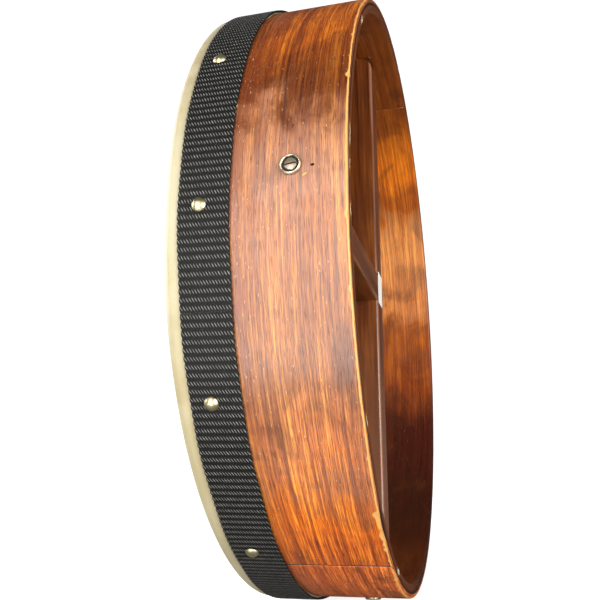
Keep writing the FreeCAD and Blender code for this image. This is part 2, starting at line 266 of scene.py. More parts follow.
class Shader:
    """A small helper that adds and joins the nodes of one material."""

    def __init__(self, name):
        self.material = bpy.data.materials.new(name)
        self.material.use_nodes = True
        self.tree = self.material.node_tree
        self.surface = self.tree.nodes["Principled BSDF"]

    def node(self, kind, **settings):
        """A new node with these settings."""
        made = self.tree.nodes.new(kind)
        for key, value in settings.items():
            setattr(made, key, value)
        return made

    def put(self, socket, value):
        """Join an output to a socket, or set the socket to a plain value."""
        if isinstance(value, bpy.types.NodeSocket):
            self.tree.links.new(value, socket)
        else:
            socket.default_value = value

    def set(self, **values):
        """Plain values on the surface shader's own sockets, spaces written as _."""
        for key, value in values.items():
            self.surface.inputs[key.replace("_", " ")].default_value = value

    def attribute(self, name, output="Vector"):
        """A value stored on the piece's points."""
        return self.node("ShaderNodeAttribute", attribute_name=name).outputs[output]

    def place(self):
        """The point itself, in the drum's frame and in metres."""
        return self.node("ShaderNodeTexCoord").outputs["Object"]

    def vector(self, operation, a, b=(0.0, 0.0, 0.0)):
        """Vector arithmetic, giving a number where the operation does."""
        made = self.node("ShaderNodeVectorMath", operation=operation)
        self.put(made.inputs[0], a)
        self.put(made.inputs[1], b)
        return made.outputs["Value" if operation in ("LENGTH", "DOT_PRODUCT") else "Vector"]

    def math(self, operation, a, b=0.0):
        """Arithmetic on one or two numbers."""
        made = self.node("ShaderNodeMath", operation=operation)
        self.put(made.inputs[0], a)
        self.put(made.inputs[1], b)
        return made.outputs[0]

    def split(self, vector):
        """The three parts of a vector."""
        return self.node_in("ShaderNodeSeparateXYZ", vector).outputs

    def join(self, x, y, z):
        """A vector of three numbers."""
        made = self.node("ShaderNodeCombineXYZ")
        for socket, value in zip(made.inputs, (x, y, z)):
            self.put(socket, value)
        return made.outputs[0]

    def node_in(self, kind, value):
        """A new node with a value in its first socket."""
        made = self.node(kind)
        self.put(made.inputs[0], value)
        return made

    def noise(self, vector, scale=1.0, detail=4.0, rough=0.55, warp=0.0):
        """Smooth noise, about 0.2 to 0.8."""
        made = self.node("ShaderNodeTexNoise")
        self.put(made.inputs["Vector"], vector)
        self.put(made.inputs["Scale"], scale)
        self.put(made.inputs["Detail"], detail)
        self.put(made.inputs["Roughness"], rough)
        self.put(made.inputs["Distortion"], warp)
        return made.outputs["Fac"]

    def cells(self, vector, scale):
        """The distance from the middle of the nearest of many scattered cells."""
        made = self.node("ShaderNodeTexVoronoi", feature="F1")
        self.put(made.inputs["Vector"], vector)
        self.put(made.inputs["Scale"], scale)
        return made.outputs["Distance"]

    def ramp(self, value, stops, smooth=True):
        """A colour ramp: stops are (place, colour), a colour being a grey or three numbers."""
        made = self.node_in("ShaderNodeValToRGB", value)
        made.color_ramp.interpolation = "EASE" if smooth else "LINEAR"
        points = made.color_ramp.elements
        while len(points) < len(stops):
            points.new(0.5)
        for point, (where, colour) in zip(points, stops):
            point.position = where
            rgb = (colour,) * 3 if isinstance(colour, float) else colour
            point.color = (*rgb, 1.0)
        return made.outputs["Color"]

    def step(self, value, low, high):
        """0 below low and 1 above high, smooth between."""
        made = self.node("ShaderNodeMapRange", interpolation_type="SMOOTHSTEP")
        self.put(made.inputs["Value"], value)
        self.put(made.inputs["From Min"], low)
        self.put(made.inputs["From Max"], high)
        return made.outputs["Result"]

    def remap(self, value, low, high, to_low, to_high):
        """Carry low..high to to_low..to_high in a straight line, held at both ends."""
        made = self.node("ShaderNodeMapRange")
        for key, number in (("Value", value), ("From Min", low), ("From Max", high),
                            ("To Min", to_low), ("To Max", to_high)):
            self.put(made.inputs[key], number)
        return made.outputs["Result"]

    def mix(self, share, a, b, blend="MIX"):
        """Colour a blended towards colour b by a share."""
        made = self.node("ShaderNodeMix", data_type="RGBA", blend_type=blend)
        self.put(made.inputs["Factor"], share)
        for key, value in (("A", a), ("B", b)):
            socket = [s for s in made.inputs if s.name == key and s.type == "RGBA"][0]
            if isinstance(value, tuple):
                value = (*value[:3], 1.0)
            self.put(socket, value)
        return [s for s in made.outputs if s.type == "RGBA"][0]

    def bump(self, height, distance, strength, under=None):
        """Small relief of this height, over another relief if one is given."""
        made = self.node("ShaderNodeBump")
        self.put(made.inputs["Height"], height)
        made.inputs["Distance"].default_value = distance
        made.inputs["Strength"].default_value = strength
        if under is not None:
            self.put(made.inputs["Normal"], under)
        return made.outputs["Normal"]

    def finish(self, colour, roughness, normal, metallic=None):
        """Join the colour, roughness, relief and metal share to the surface."""
        self.put(self.surface.inputs["Base Color"], colour)
        self.put(self.surface.inputs["Roughness"], roughness)
        self.put(self.surface.inputs["Normal"], normal)
        if metallic is not None:
            self.put(self.surface.inputs["Metallic"], metallic)
        return self.material


def dress(piece, material):
    """Give a piece, new or from the CAD, one material."""
    piece.data.materials.clear()
    piece.data.materials.append(material)


# ---------------------------------------------------------------- wood

def grain_space(look, vector, long_scale, fine_scale):
    """Stretch (along, across, depth) so that a noise on it runs in long thin streaks."""
    return look.vector("MULTIPLY", vector, (long_scale, fine_scale, fine_scale))


def streaks(look, grain):
    """The wood's figure: all its streaks together, the fine ones, the finest, and the open pores."""
    drift = look.noise(grain_space(look, grain, 14.0, 60.0), detail=2.0)
    bent = look.vector("ADD", grain, look.join(0.0, look.remap(drift, 0.0, 1.0, -0.0016, 0.0016), 0.0))
    broad = look.noise(grain_space(look, bent, 7.0, 230.0), detail=3.0)
    fine = look.noise(grain_space(look, bent, 18.0, 1150.0), detail=3.0, rough=0.6)
    hair = look.noise(grain_space(look, bent, 70.0, 3000.0), detail=2.0, rough=0.7)
    pores = look.noise(grain_space(look, bent, 120.0, 3000.0), detail=1.0)
    streak = look.math("ADD", look.math("MULTIPLY", broad, 0.28), look.math("MULTIPLY", fine, 0.42))
    streak = look.math("ADD", streak, look.math("MULTIPLY", hair, 0.30))
    return streak, fine, hair, look.step(pores, 0.585, 0.66)


def stain(look, grain, streak, tones, stain_and_painted_light, painted_sheen):
    """The stain: its tones over the streaks, then the zones of stain and painted light and shade, dark
    clouds, and the painted sheen along the strip.
    """
    colour = look.ramp(look.remap(streak, 0.40, 0.60, 0.0, 1.0), tones, smooth=False)
    cloud = look.noise(grain_space(look, grain, 24.0, 34.0), detail=5.0, warp=0.9)
    place = look.math("DIVIDE", look.split(grain)[0], 2.0 * math.pi * SHELL_RADIUS)
    spot = look.math("ADD", place, look.remap(cloud, 0.2, 0.8, -0.028, 0.028))
    # The zones multiply in real stain changes together with painted light and shade.
    colour = look.mix(1.0, colour, look.ramp(spot, stain_and_painted_light), blend="MULTIPLY")
    colour = look.mix(look.remap(cloud, 0.50, 0.68, 0.0, 0.62), colour, STAIN_CLOUD)
    # Painted sheen: a pale pink tint mixed in along the strip.
    return look.mix(look.ramp(spot, painted_sheen), colour, PAINTED_SHEEN_TINT)


def wood(name, tones, stain_and_painted_light, painted_sheen, worn, gloss, rough_grain):
    """Stained wood: tones from dark to light, zones along the strip of deeper or paler stain together
    with painted light and shade, a painted sheen mixed in along the strip, and worn, the bare colour
    where the stain has rubbed off (stored on the points as wear).  A dark mark stands for real glue and,
    as painted shade, darkens the inner ply's end face.  The share rough_grain is 1 where open pores and
    pale flecks show, and less on a smoother face."""
    look = Shader(name)
    grain = look.attribute("grain")
    streak, fine, hair, dash = streaks(look, grain)
    colour = stain(look, grain, streak, tones, stain_and_painted_light, painted_sheen)
    strap_side = look.remap(look.split(grain)[1], BAND_HIGH, BAND_HIGH + 16.0 * MM, 1.0, 0.0)
    colour = look.mix(look.math("MULTIPLY", strap_side, 0.55), colour, STAIN_STRAP_SIDE)
    colour = look.mix(look.math("MULTIPLY", dash, 0.6 * rough_grain), colour, OPEN_PORE)
    fleck = look.noise(grain_space(look, grain, 330.0, 1500.0), detail=1.0)
    fleck = look.step(look.math("ADD", fleck, look.math("MULTIPLY", strap_side, 0.04)), 0.715, 0.76)
    colour = look.mix(look.math("MULTIPLY", fleck, 0.55 * rough_grain), colour, PALE_FLECK)
    wear = look.attribute("wear", "Fac")
    scuff = look.noise(grain_space(look, grain, 160.0, 1300.0), detail=3.0)
    bare = look.step(look.math("ADD", wear, look.remap(scuff, 0.3, 0.7, -0.3, 0.3)), 0.42, 0.60)
    colour = look.mix(bare, colour, look.mix(scuff, worn, tuple(0.62 * c for c in worn)))
    # Real glue in the joints, and painted shade on the inner ply's end face and inner corner.
    glue_and_shade = look.attribute("glue_and_shade", "Fac")
    colour = look.mix(look.step(glue_and_shade, 0.2, 0.9), colour, GLUE_AND_PAINTED_SHADE)
    rough = look.remap(fine, 0.3, 0.7, gloss, gloss + 0.12)
    rough = look.math("ADD", rough, look.math("MULTIPLY", bare, 0.18))
    ridges = look.math("ADD", look.math("MULTIPLY", fine, 0.5), look.math("MULTIPLY", hair, 0.5))
    height = look.math("SUBTRACT", ridges, look.math("MULTIPLY", dash, 0.8))
    ripple = look.noise(grain_space(look, grain, 9.0, 26.0), detail=1.0)
    normal = look.bump(height, 0.0001, 0.7, under=look.bump(ripple, 0.0012, 0.6))
    look.set(IOR=1.5, Specular_IOR_Level=0.45 + 0.4 * rough_grain)
    return look.finish(colour, rough, normal)


def along_strip(start, stops):
    """Zones of stain, of painted light and shade and of painted sheen, given by their angle round the
    drum, as shares of a strip from its start.
    """
    shares = [(((math.radians(angle) - start) / (2.0 * math.pi)) % 1.0, tone) for angle, tone in stops]
    return sorted(shares)


# ---------------------------------------------------------------- shell

def ply(name, node, profile, middle, start, marks, damage, joint_glue, seed):
    """One bent ply: a strip once round the drum whose tapered ends meet in a slanted scarf.
    marks gives wear, nick and glue-and-shade shares for each point of the profile, the last darkening
    real glue lines and, as painted shade, the inner ply's end face and inner corner; damage gives how
    deep the nicks and the chip are at each point, and joint_glue how dark the glue in the scarf is."""
    radius = np.array([p[0] for p in profile])[None, :]
    along = np.array([p[1] for p in profile])[None, :]
    share = np.linspace(0.0, 1.0, PLY_STEPS)[:, None]
    slant = (radius - middle) * SCARF_SLOPE / radius
    gap = SCARF_GAP / radius
    turn = start + slant + gap / 2.0 + share * (2.0 * math.pi - gap)
    wear, nick, glue_and_shade = (np.array(mark)[None, :] + 0.0 * turn for mark in zip(*marks))
    glue_and_shade[[0, -1], :] = np.maximum(glue_and_shade[[0, -1], :], joint_glue)
    nicks, scoop = damage(turn, along)
    nicks = nicks * nick
    swell = 0.05 * MM * waves(turn, seed + 1, 3, 14) + 0.03 * MM * waves(turn, seed + 2, 20, 60)
    edge = np.clip(nick + scoop, 0.0, 1.0)
    deep = np.where(edge > 0.0, NICK_DEPTH * nicks + CHIP_DEPTH * scoop, 0.0)
    points = ring_points(radius + swell - CHIP_HOLLOW * scoop, along - deep, turn)
    piece = make_mesh(name, points, ring_faces(PLY_STEPS, len(profile), False))
    smooth = [len(face.vertices) == 4 for face in piece.data.polygons]
    piece.data.polygons.foreach_set("use_smooth", smooth)
    length = (turn - start - slant) * SHELL_RADIUS
    strip = np.stack([length, along + 0.0 * turn, radius + 0.0 * turn], axis=-1)
    store(piece, "grain", strip.reshape(-1, 3))
    store(piece, "wear", (wear + nicks * 1.4 + scoop * 1.6).ravel())
    store(piece, "glue_and_shade", (glue_and_shade * (1.0 - np.clip(nicks * 2.0, 0.0, 1.0))).ravel())
    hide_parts(node)
    return piece


def outside_damage(turn, along):
    """Small nicks all along the outside's back edge, and a splinter gone low on the near side."""
    nicks = np.clip(waves(turn, 11, 30, 160) - 1.1, 0.0, 1.0)
    away = away_from(turn, CHIP_ANGLE)
    length = np.clip(1.0 - np.abs(away / CHIP_HALF) ** 3.0, 0.0, 1.0)
    reach = CHIP_REACH * (0.45 + 0.35 * np.sin(away * 0.5 - 1.0) + 0.2 * waves(turn, 61, 60, 200))
    return nicks, length * np.clip((along - (BACK - RIM_ROUND) + reach) / (1.2 * MM), 0.0, 1.0)


def inside_damage(turn, along):
    """A few knocks on the inside's back edge that show bare wood."""
    knocks = 0.0
    for angle in NICK_ANGLES:
        knocks = knocks + np.clip(1.8 - 1.8 * np.abs(away_from(turn, angle)), 0.0, 1.0)
    return knocks, 0.0 * turn * along


def fine_patch(work, centre):
    """Divide the faces round a point so that small marks have points of their own."""
    near = [f for f in work.faces if (f.calc_center_median() - centre).length < PATCH_REACH]
    edges = list({e for f in near for e in f.edges})
    bmesh.ops.subdivide_edges(work, edges=edges, cuts=7, use_grid_fill=True)
    return [v for v in work.verts if (v.co - centre).length < PATCH_REACH]


def small_marks(piece):
    """Beside the near screw: a pin's hole pressed into the wood, and a short pale scratch."""
    work = bmesh.new()
    work.from_mesh(piece.data)
    wear, glue_and_shade = (work.verts.layers.float[name] for name in ("wear", "glue_and_shade"))
    turned = Matrix.Rotation(-HOLE_TURN, 3, "Y")
    centre = turned @ Vector((SHELL_RADIUS, 0.0, 0.0)) + Vector((0.0, HOLE_ALONG, 0.0))
    outwards = turned @ Vector((1.0, 0.0, 0.0))
    for vertex in fine_patch(work, centre):
        away = vertex.co - centre
        share = 1.0 - (away - outwards * away.dot(outwards)).length / HOLE_RADIUS
        if share > 0.0:
            vertex.co -= outwards * HOLE_DEPTH * min(1.0, 4.0 * share)
            # The hole is painted dark with the glue-and-shade colour.
            vertex[glue_and_shade] = 1.0
    turned = Matrix.Rotation(-SCRATCH_TURN, 3, "Y")
    centre = turned @ Vector((SHELL_RADIUS, 0.0, 0.0)) + Vector((0.0, SCRATCH_ALONG, 0.0))
    lengthwise = turned @ Vector((0.0, SCRATCH_LEAN[0], SCRATCH_LEAN[1]))
    sideways = turned @ Vector((0.0, -SCRATCH_LEAN[1], SCRATCH_LEAN[0]))
    for vertex in fine_patch(work, centre):
        away = vertex.co - centre
        reach = math.hypot(away.dot(lengthwise) / SCRATCH_LENGTH, away.dot(sideways) / SCRATCH_WIDTH)
        if reach < 1.0:
            vertex[wear] = 1.5 * (1.0 - reach ** 2)
            vertex.co -= turned @ Vector((0.15 * MM * (1.0 - reach), 0.0, 0.0))
    work.to_mesh(piece.data)
    work.free()


def outer_ply(material):
    """The outside ply: its face runs from the skin's shoulder to the worn back edge."""
    crest = SHELL_FRONT + EDGE_ROUND - math.sqrt(EDGE_ROUND ** 2 - (PLY_RADIUS - SHELL_RADIUS
                                                                    + EDGE_ROUND) ** 2)
    shoulder = (SHELL_RADIUS - EDGE_ROUND, SHELL_FRONT + EDGE_ROUND)
    rim = (SHELL_RADIUS - RIM_ROUND, BACK - RIM_ROUND)
    fine_from = (SHELL_RADIUS, rim[1] - 5.0 * MM)
    first = math.degrees(math.acos((PLY_RADIUS - shoulder[0]) / EDGE_ROUND))
    front = arc(shoulder, EDGE_ROUND, -first, 0.0, 6)
    face = run((SHELL_RADIUS, shoulder[1]), fine_from, 19) + [fine_from]
    face += run(fine_from, (SHELL_RADIUS, rim[1]), 6)
    corner = arc(rim, RIM_ROUND, 0.0, 90.0, 7)
    inset = 0.35 * MM
    end = [(PLY_RADIUS + inset, BACK), (PLY_RADIUS + 0.05 * MM, BACK - inset)]
    inside = run(end[-1], (PLY_RADIUS + 0.05 * MM, crest), 4)
    plain = (0.0, 0.0, 0.0)
    marks = [plain] * (len(front) + len(face) - 1) + [(0.05, 0.3, 0.0)]
    marks += [(w, 1.0, 0.0) for w in (0.2, 0.55, 0.9, 0.9, 0.45, 0.1, 0.0)]
    marks += [(0.0, 0.0, 0.7), (0.0, 0.0, 1.0)] + [plain] * len(inside)
    piece = ply("shell_outer_ply", "outer_ply", front + face + corner + end + inside,
                (SHELL_RADIUS + PLY_RADIUS) / 2.0, OUTER_SCARF, marks, outside_damage, 0.8, 11)
    small_marks(piece)
    dress(piece, material)
    return piece


def inner_ply(material):
    """The inside ply, with the thicker part of the end face and the inner wall."""
    rim = (INNER_RADIUS + RIM_ROUND, BACK - RIM_ROUND)
    inset = 0.35 * MM
    outside = run((PLY_RADIUS - 0.05 * MM, SHELL_FRONT), (PLY_RADIUS - 0.05 * MM, BACK - inset), 4)
    end = [(PLY_RADIUS - 0.05 * MM, BACK - inset), (PLY_RADIUS - inset, BACK)]
    middle = run(end[-1], (rim[0], BACK), 3)
    corner = arc(rim, RIM_ROUND, 90.0, 180.0, 6)
    wall = run((INNER_RADIUS, rim[1]), (INNER_RADIUS, SHELL_FRONT), 16)
    low = [(INNER_RADIUS, SHELL_FRONT), (PLY_RADIUS - 0.05 * MM, SHELL_FRONT)]
    plain = (0.0, 0.0, 0.0)
    marks = [plain] * len(outside) + [(0.0, 0.0, 1.0), (0.0, 0.0, 0.8)]
    # Painted shade: the glue-and-shade share darkens the end face and fades round the inner corner.
    marks += [(0.0, n, 0.6) for n in (0.4, 1.0, 1.0)]
    marks += [(0.0, 1.0, g) for g in (0.6, 0.55, 0.5, 0.4, 0.3, 0.2)] + [plain] * (len(wall) + 2)
    piece = ply("shell_inner_ply", "inner_ply", outside + end + middle + corner + wall + low,
                (PLY_RADIUS + INNER_RADIUS) / 2.0, INNER_SCARF, marks, inside_damage, 0.4, 23)
    dress(piece, material)
    return piece


def shell():
    """Both plies with their stained wood.  The zones, real stain together with painted light and shade,
    and the painted sheen are given by angle round the drum: a share of the stain's own red, green and
    blue, and how much painted sheen is mixed in."""
    # Real stain changes, such as the dark band near 30 to 37 degrees, together with painted light: a
    # painted sheen, green and blue raised, from -28 to 23 degrees, and painted brightening low on the
    # drum from 305 round to -42 degrees.
    outer_stain_and_painted_light = along_strip(OUTER_SCARF, [
        (-47.8, (1.5, 1.25, 0.5)), (-42.0, (1.8, 1.7, 0.5)), (-28.0, (1.45, 1.6, 1.2)),
        (-10.0, (0.9, 1.15, 1.7)), (10.0, (0.88, 1.05, 1.7)), (23.0, (0.82, 0.95, 1.3)),
        (30.0, (0.36, 0.33, 0.28)), (37.0, (0.52, 0.45, 0.22)), (44.0, (1.05, 0.95, 0.2)),
        (58.0, (1.05, 0.95, 0.2)), (68.0, (0.65, 0.55, 0.3)), (130.0, (0.9, 0.9, 0.9)),
        (200.0, (1.0, 1.0, 1.0)), (260.0, (1.1, 1.0, 1.0)), (305.0, (1.7, 1.5, 2.0)),
        (311.6, (1.7, 1.5, 2.0)),
    ])
    # Painted sheen on the outer ply, strongest from 14 to 20 degrees.
    outer_painted_sheen = along_strip(OUTER_SCARF, [
        (-47.8, 0.0), (-38.0, 0.0), (-25.0, 0.09), (-12.0, 0.04), (4.0, 0.05), (14.0, 0.16),
        (20.0, 0.15), (31.0, 0.0), (311.6, 0.0),
    ])
    outer_tones = [(0.0, (0.14, 0.024, 0.001)), (0.3, (0.29, 0.057, 0.003)),
                   (0.55, (0.43, 0.096, 0.006)), (0.8, (0.59, 0.16, 0.012)), (1.0, (0.78, 0.26, 0.03))]
    # Mostly painted light and shade: a painted glare, blue raised most, from 146 to 184 degrees, and
    # painted shade low inside the drum from 211 to 275 degrees.
    inner_stain_and_painted_light = along_strip(INNER_SCARF, [
        (129.0, (0.7, 0.6, 0.3)), (146.0, (2.1, 2.0, 1.0)), (156.0, (1.2, 1.0, 0.6)),
        (170.0, (2.3, 3.0, 7.0)), (184.0, (2.0, 2.3, 4.0)), (198.0, (1.15, 0.95, 0.35)),
        (211.0, (0.75, 0.5, 0.15)), (223.0, (0.18, 0.06, 0.02)), (250.0, (0.10, 0.04, 0.02)),
        (275.0, (0.35, 0.25, 0.2)), (300.0, (0.8, 0.7, 0.6)), (0.0, (0.95, 0.9, 0.8)),
        (60.0, (0.8, 0.7, 0.6)), (110.0, (0.7, 0.6, 0.4)), (127.0, (0.7, 0.6, 0.3)),
    ])
    # Painted sheen on the inner wall from 170 to 185 degrees.
    inner_painted_sheen = along_strip(INNER_SCARF, [
        (129.0, 0.0), (158.0, 0.0), (170.0, 0.09), (185.0, 0.07), (196.0, 0.0), (127.0, 0.0),
    ])
    inner_tones = [(0.0, (0.24, 0.050, 0.003)), (0.4, (0.35, 0.085, 0.005)),
                   (0.7, (0.46, 0.125, 0.009)), (1.0, (0.58, 0.18, 0.015))]
    outer_ply(wood("stained_outer_ply", outer_tones, outer_stain_and_painted_light, outer_painted_sheen, OUTER_BARE,
                   gloss=0.31, rough_grain=1.0))
    inner_ply(wood("stained_inner_ply", inner_tones, inner_stain_and_painted_light, inner_painted_sheen, INNER_BARE,
                   gloss=0.38, rough_grain=0.25))


# ---------------------------------------------------------------- skin

def goatskin():
    """Goatskin: cream, clouded, with fine grain, hair pores and a faint darker spine."""
    look = Shader("goatskin")
    place = look.place()
    cloud = look.noise(place, 9.0, detail=5.0, warp=0.6)
    mottle = look.noise(place, 42.0, detail=6.0, rough=0.62)
    grain = look.noise(place, 900.0, detail=3.0)
    pore = look.cells(place, 620.0)
    x, _, z = look.split(place)
    bend = look.remap(look.noise(look.join(0.0, 0.0, z), 7.0), 0.0, 1.0, -0.5, 0.5)
    spine = look.math("ABSOLUTE", look.math("ADD", x, look.math("MULTIPLY", bend, 0.03)))
    colour = look.ramp(cloud, [(0.3, (0.39, 0.31, 0.145)), (0.5, (0.455, 0.385, 0.215)),
                               (0.7, (0.51, 0.45, 0.285))])
    colour = look.mix(look.remap(mottle, 0.45, 0.75, 0.0, 0.5), colour, SKIN_PALE)
    colour = look.mix(look.remap(spine, 0.0, 0.035, 0.30, 0.0), colour, SKIN_SPINE)
    colour = look.mix(look.remap(grain, 0.5, 0.8, 0.0, 0.18), colour, SKIN_GRAIN)
    height = look.math("ADD", look.math("MULTIPLY", grain, 0.5), look.step(pore, 0.0, 0.35))
    normal = look.bump(height, 0.00006, 0.7, under=look.bump(mottle, 0.0005, 0.3))
    rough = look.remap(mottle, 0.3, 0.7, 0.42, 0.6)
    look.set(Subsurface_Weight=0.12, Subsurface_Scale=0.002, Sheen_Weight=0.08, Coat_Weight=0.08,
             Coat_Roughness=0.35)
    look.surface.inputs["Subsurface Radius"].default_value = (1.0, 0.6, 0.3)
    return look.finish(colour, rough, normal)


def skin():
    """The head: one skin over the edge, dipping a little between the tacks that hold its skirt."""
    shoulder = (SHELL_RADIUS - EDGE_ROUND, SHELL_FRONT + EDGE_ROUND)
    outside = EDGE_ROUND + SKIN
    face = run((0.0, SKIN_FRONT), (shoulder[0], SKIN_FRONT), 40)
    over = arc(shoulder, outside, -90.0, 0.0, 10)
    skirt = run((SKIRT_RADIUS, shoulder[1]), (SKIRT_RADIUS, SKIRT_END), 12)
    hem = [(SKIRT_RADIUS - 0.1 * MM, SKIRT_END), (SHELL_RADIUS + 0.04 * MM, SKIRT_END)]
    under = arc(shoulder, EDGE_ROUND + 0.04 * MM, 0.0, -90.0, 8)
    back = run((shoulder[0], SHELL_FRONT), (0.0, SHELL_FRONT), 24)
    profile = [(0.0, SKIN_FRONT)] + face + over + skirt + hem + under + back + [(0.0, SHELL_FRONT)]
    radius = np.array([p[0] for p in profile])[None, :]
    along = np.array([p[1] for p in profile])[None, :]
    turn = np.linspace(0.0, 2.0 * math.pi, SKIN_STEPS, endpoint=False)[:, None]
    held = 1.0 - 2.0 * sum(np.exp(-(away_from(turn, angle) / 7.0) ** 2) for angle in TACK_ANGLES)
    on_face = 1.0 - np.clip((radius - 0.6 * SHELL_RADIUS) / (0.4 * SHELL_RADIUS), 0.0, 1.0)
    sag = 0.12 * MM * waves(turn, 5, 2, 6) * np.clip(radius / SHELL_RADIUS, 0.0, 1.0) * on_face
    skirted = np.clip((along - shoulder[1]) / (SKIRT_END - shoulder[1]), 0.0, 1.0)
    outer = (radius > SHELL_RADIUS + 0.2 * MM) & (along > shoulder[1])
    pucker = np.where(outer, 0.10 * MM * held + 0.05 * MM * waves(turn, 8, 40, 150), 0.0)
    slip = 0.5 * MM * waves(turn, 9, 5, 60) * skirted
    radius = radius + pucker * skirted
    along = along + sag + slip
    faces = ring_faces(SKIN_STEPS, len(profile), True)
    piece = make_mesh("skin_head", ring_points(radius, along, turn), faces)
    join_points(piece)
    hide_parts("goatskin_head")
    dress(piece, goatskin())
    return piece


# ---------------------------------------------------------------- webbing

def nylon():
    """Black nylon webbing: on each raised float a slanted grey tick, a painted highlight, painted shade
    in the pits between, and some lint.
    """
    look = Shader("black_nylon")
    cell_x, cell_y, _ = look.split(look.attribute("weave"))
    cell_x = look.math("SUBTRACT", look.math("FRACT", cell_x), 0.5)
    cell_y = look.math("SUBTRACT", look.math("FRACT", cell_y), 0.5)
    across = look.math("MULTIPLY", cell_y, COLUMN_PITCH / MM)
    along = look.math("MULTIPLY", cell_x, ROW_PITCH / MM)
    lengthwise = look.math("SUBTRACT", look.math("MULTIPLY", across, TICK_ACROSS),
                           look.math("MULTIPLY", along, TICK_ALONG))
    sideways = look.math("ADD", look.math("MULTIPLY", across, TICK_ALONG),
                         look.math("MULTIPLY", along, TICK_ACROSS))
    reach = look.vector("LENGTH", look.join(look.math("DIVIDE", lengthwise, TICK_LENGTH),
                                            look.math("DIVIDE", sideways, TICK_WIDTH), 0.0))
    tick = look.math("SUBTRACT", 1.0, look.step(reach, 0.35, 1.15))
    beside = look.math("ABSOLUTE", look.math("SUBTRACT", reach, 1.35))
    pit_shade = look.math("SUBTRACT", 1.0, look.step(beside, 0.0, 0.5))
    thread = look.noise(look.vector("MULTIPLY", look.attribute("weave"), (2.0, 9.0, 1.0)), detail=3.0)
    uneven = look.noise(look.attribute("weave"), 0.8, detail=2.0)
    lint = look.noise(look.place(), 1500.0, detail=3.0)
    colour = look.mix(look.remap(thread, 0.35, 0.65, 0.0, 1.0), THREAD_DARK, THREAD_LIGHT)
    # Painted shade in the pits round each float.
    colour = look.mix(look.math("MULTIPLY", pit_shade, 0.7), colour, WEAVE_PIT_SHADE)
    shine = look.math("MULTIPLY", tick, look.remap(uneven, 0.3, 0.7, 0.35, 1.0))
    # Painted highlight on each float.
    colour = look.mix(shine, colour, TICK_SHEEN)
    colour = look.mix(look.step(lint, 0.68, 0.76), colour, LINT)
    height = look.math("ADD", tick, look.math("MULTIPLY", thread, 0.35))
    look.set(Specular_IOR_Level=0.15)
    rough = look.remap(thread, 0.3, 0.7, 0.42, 0.6)
    return look.finish(colour, rough, look.bump(height, 0.0004, 0.8))


def webbing():
    """The strap: slanted floats of warp in rows, scalloped selvedges, its lap on the far side."""
    steps = WEAVE_ROWS * ROW_STEPS
    across = WEAVE_COLUMNS * COLUMN_STEPS
    width = BAND_HIGH - BAND_LOW
    share = np.linspace(0.0, 1.0, across + 1)[None, :]
    turn = np.linspace(0.0, 2.0 * math.pi, steps, endpoint=False)[:, None]
    rows = turn / (2.0 * math.pi) * WEAVE_ROWS + WEAVE_LEAN * share
    columns = share * WEAVE_COLUMNS + 0.0 * turn
    s = (columns % 1.0 - 0.5) * COLUMN_PITCH / MM
    t = (rows % 1.0 - 0.5) * ROW_PITCH / MM
    reach = np.hypot((s * TICK_ACROSS - t * TICK_ALONG) / TICK_LENGTH,
                     (s * TICK_ALONG + t * TICK_ACROSS) / TICK_WIDTH)
    height = 0.35 + 0.65 * np.exp(-reach ** 2)
    height = height * np.clip(np.minimum(share, 1.0 - share) * 30.0, 0.25, 1.0)
    away = away_from(turn, TACK_ANGLES[LAP_TACK])
    rise = np.clip((away + 7.0) / 2.5, 0.0, 1.0) * (away < 4.5)
    edge = np.abs(2.0 * share - 1.0) ** 12 * np.sign(share - 0.5)
    scallop = (0.5 * np.abs(np.sin(math.pi * rows)) - 0.18) * MM
    wander = 0.18 * MM * waves(turn, 31, 3, 25)
    radius = BAND_RADIUS - RELIEF * (1.0 - height) + WEBBING * rise
    along = BAND_LOW + width * share + edge * scallop + wander
    under_radius = SKIRT_RADIUS + 0.12 * MM + 0.0 * turn
    radius = np.concatenate([radius, under_radius, under_radius], axis=1)
    along = np.concatenate([along, along[:, -1:], along[:, :1]], axis=1)
    rows = np.concatenate([rows, rows[:, -1:], rows[:, :1]], axis=1)
    columns = np.concatenate([columns, columns[:, -1:], columns[:, :1]], axis=1)
    faces = ring_faces(steps, across + 3, True)
    piece = make_mesh("webbing_strap", ring_points(radius, along, turn), faces)
    weave = np.stack([rows, columns, 0.0 * rows], axis=-1)
    store(piece, "weave", weave.reshape(-1, 3))
    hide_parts("webbing_band")
    dress(piece, nylon())
    return piece


# ---------------------------------------------------------------- crossbar

def edge_share(look, across, half, scuffed):
    """0 on a bar's face, 1 at its edge, uneven by the scuffing in millimetres."""
    inset = look.math("DIVIDE", look.math("SUBTRACT", half, look.math("ABSOLUTE", across)), MM)
    return look.math("SUBTRACT", 1.0, look.step(look.math("ADD", inset, scuffed), 0.3, 1.8))


